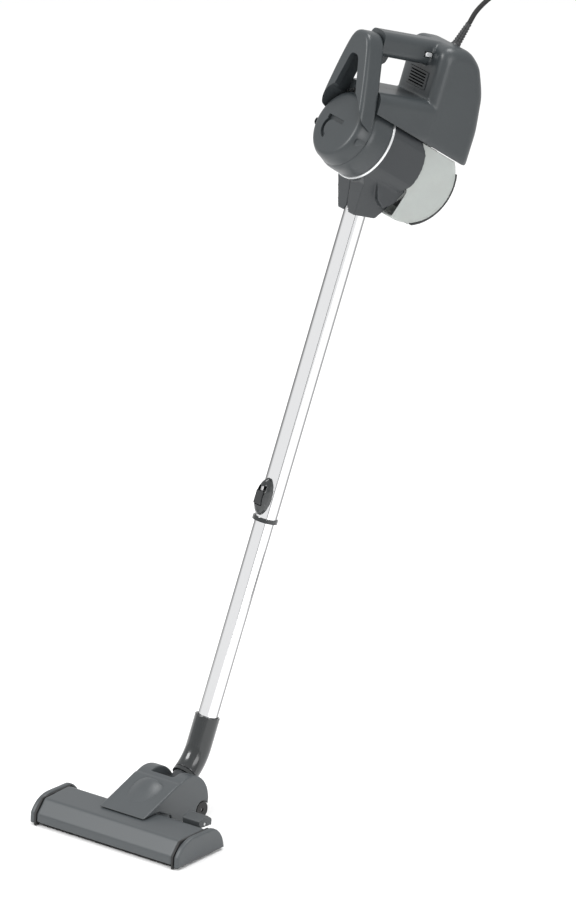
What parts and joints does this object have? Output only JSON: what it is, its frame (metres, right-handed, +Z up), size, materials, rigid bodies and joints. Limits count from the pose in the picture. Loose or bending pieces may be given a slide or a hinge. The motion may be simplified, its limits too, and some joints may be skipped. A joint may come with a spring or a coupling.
{
  "type": "corded stick vacuum cleaner",
  "caption": "Upright stick vacuum: hand-held motor unit with window frame, round front cap and dust cup, telescopic tube, curved elbow and wide floor nozzle, mains lead coiled.",
  "frame": {"origin": "centre of the nozzle's sole where it rests on the floor", "axes": "+Z up, +X across the nozzle towards the machine's left, -Y out of the nozzle's front edge; the tube leans back towards +Y"},
  "size_m": [0.546, 0.8061, 1.133],
  "materials": {
    "slate_plastic": "satin moulded",
    "dark_plastic": "satin moulded",
    "nozzle_plastic": "satin moulded",
    "black_gloss": "gloss",
    "chrome_tube": "bright",
    "silver_trim": "satin",
    "smoke_cup": "translucent",
    "steel": "plain",
    "copper": "wound wire",
    "rubber": "matt",
    "filter_paper": "pleated",
    "felt": "felt",
    "bristle": "nylon bristle",
    "cord_jacket": "matt"
  },
  "bodies": {
    "hand_unit": {"front_frame": "slate_plastic", "filter_frame": "dark_plastic", "pleated_filter": "filter_paper", "trim_ring": "silver_trim", "upper_housing_left": "slate_plastic", "upper_housing_right": "slate_plastic", "trigger_spring": "steel", "switch_block": "black_gloss", "vent_grille": "dark_plastic", "motor_can": "steel", "fan_shroud": "dark_plastic", "motor_seal": "rubber", "exhaust_foam": "felt", "lower_housing_left": "dark_plastic", "lower_housing_right": "dark_plastic", "cup_seal": "rubber", "cord_boot": "black_gloss", "mains_cord": "cord_jacket", "cord_coil": "cord_jacket", "cord_tail": "cord_jacket", "mains_plug": "black_gloss"},
    "front_cap": {"front_cap": "slate_plastic", "bayonet_ring": "dark_plastic"},
    "power_trigger": {"power_trigger": "dark_plastic"},
    "speed_button": {"speed_button": "silver_trim"},
    "motor_rotor": {"motor_rotor": "copper"},
    "dust_cup": {"dust_cup": "smoke_cup", "cover_pin": "steel", "cyclone_cone": "dark_plastic"},
    "cup_cover": {"cup_cover": "black_gloss"},
    "cover_latch": {"cover_latch": "dark_plastic"},
    "upper_tube": {"outer_tube": "chrome_tube", "guide_sleeve": "dark_plastic", "tube_collar": "black_gloss", "lock_housing": "black_gloss", "lock_spring": "steel"},
    "lock_button": {"lock_button": "black_gloss"},
    "lower_tube": {"inner_tube": "chrome_tube", "elbow_pipe": "black_gloss", "swivel_collar": "black_gloss"},
    "neck": {"neck_drum": "dark_plastic"},
    "nozzle": {"hub_housing": "nozzle_plastic", "nozzle_hood": "nozzle_plastic", "front_brush": "bristle", "corner_seal_left": "rubber", "corner_seal_right": "rubber", "end_cap_left": "nozzle_plastic", "end_cap_right": "nozzle_plastic", "sole_plate": "dark_plastic", "lint_strip_front": "felt", "lint_strip_rear": "felt", "suction_tunnel": "dark_plastic", "pedal_pin": "steel", "roller_axle": "steel", "hub_pin": "steel", "sole_screw_1": "steel", "sole_screw_2": "steel"},
    "floor_pedal": {"floor_pedal": "dark_plastic"},
    "rear_roller_left": {"rear_roller_left": "rubber"},
    "rear_roller_right": {"rear_roller_right": "rubber"}
  },
  "joints": [
    {"name": "cap_twist", "type": "hinge", "parent": "hand_unit", "child": "front_cap", "pos_m": [0.09419, 0.40648, 0.93534], "axis": [-0.2784, -0.765, 0.5807], "range_deg": [0, 35]},
    {"name": "trigger_press", "type": "slide", "parent": "hand_unit", "child": "power_trigger", "axis": [0.1102, 0.3028, 0.9466], "range_m": [0, 0.005], "stiffness_N_per_m": 300, "deforming": ["trigger_spring"]},
    {"name": "button_press", "type": "slide", "parent": "hand_unit", "child": "speed_button", "axis": [-0.9397, 0.342, 0], "range_m": [0, 0.002], "stiffness_N_per_m": 300},
    {"name": "motor_spin", "type": "hinge", "parent": "hand_unit", "child": "motor_rotor", "pos_m": [0.13319, 0.51363, 0.96308], "axis": [-0.2784, -0.765, 0.5807], "continuous": true},
    {"name": "cup_release", "type": "slide", "parent": "hand_unit", "child": "dust_cup", "axis": [0.0692, 0.19, -0.9793], "range_m": [0, 0.06]},
    {"name": "cover_open", "type": "hinge", "parent": "dust_cup", "child": "cup_cover", "pos_m": [0.11116, 0.4531, 0.81507], "axis": [-0.9397, 0.342, 0], "range_deg": [0, 85]},
    {"name": "latch_lift", "type": "hinge", "parent": "cup_cover", "child": "cover_latch", "pos_m": [0.13655, 0.52287, 0.86009], "axis": [-0.9397, 0.342, 0], "range_deg": [0, 12], "stiffness_Nm_per_rad": 0.4},
    {"name": "tube_pull_off", "type": "slide", "parent": "hand_unit", "child": "upper_tube", "axis": [-0.1102, -0.3028, -0.9466], "range_m": [0, 0.06]},
    {"name": "telescope", "type": "slide", "parent": "upper_tube", "child": "lower_tube", "axis": [0.1102, 0.3028, 0.9466], "range_m": [0, 0.23]},
    {"name": "lock_slide", "type": "slide", "parent": "upper_tube", "child": "lock_button", "axis": [0.1102, 0.3028, 0.9466], "range_m": [0, 0.005], "stiffness_N_per_m": 300, "deforming": ["lock_spring"]},
    {"name": "elbow_swivel", "type": "hinge", "parent": "lower_tube", "child": "neck", "pos_m": [0, 0.087, 0.028], "axis": [0, 0.8387, 0.5446], "range_deg": [-50, 70]},
    {"name": "neck_pitch", "type": "hinge", "parent": "neck", "child": "nozzle", "pos_m": [0, 0.087, 0.028], "axis": [1, 0, 0], "range_deg": [-28, 20]},
    {"name": "pedal_tilt", "type": "hinge", "parent": "nozzle", "child": "floor_pedal", "pos_m": [0.087, 0.046, 0.03], "axis": [-1, 0, 0], "range_deg": [0, 8]},
    {"name": "roller_left_spin", "type": "hinge", "parent": "nozzle", "child": "rear_roller_left", "pos_m": [0.034, 0.116, 0.012], "axis": [1, 0, 0], "continuous": true},
    {"name": "roller_right_spin", "type": "hinge", "parent": "nozzle", "child": "rear_roller_right", "pos_m": [-0.034, 0.116, 0.012], "axis": [1, 0, 0], "continuous": true}
  ]
}
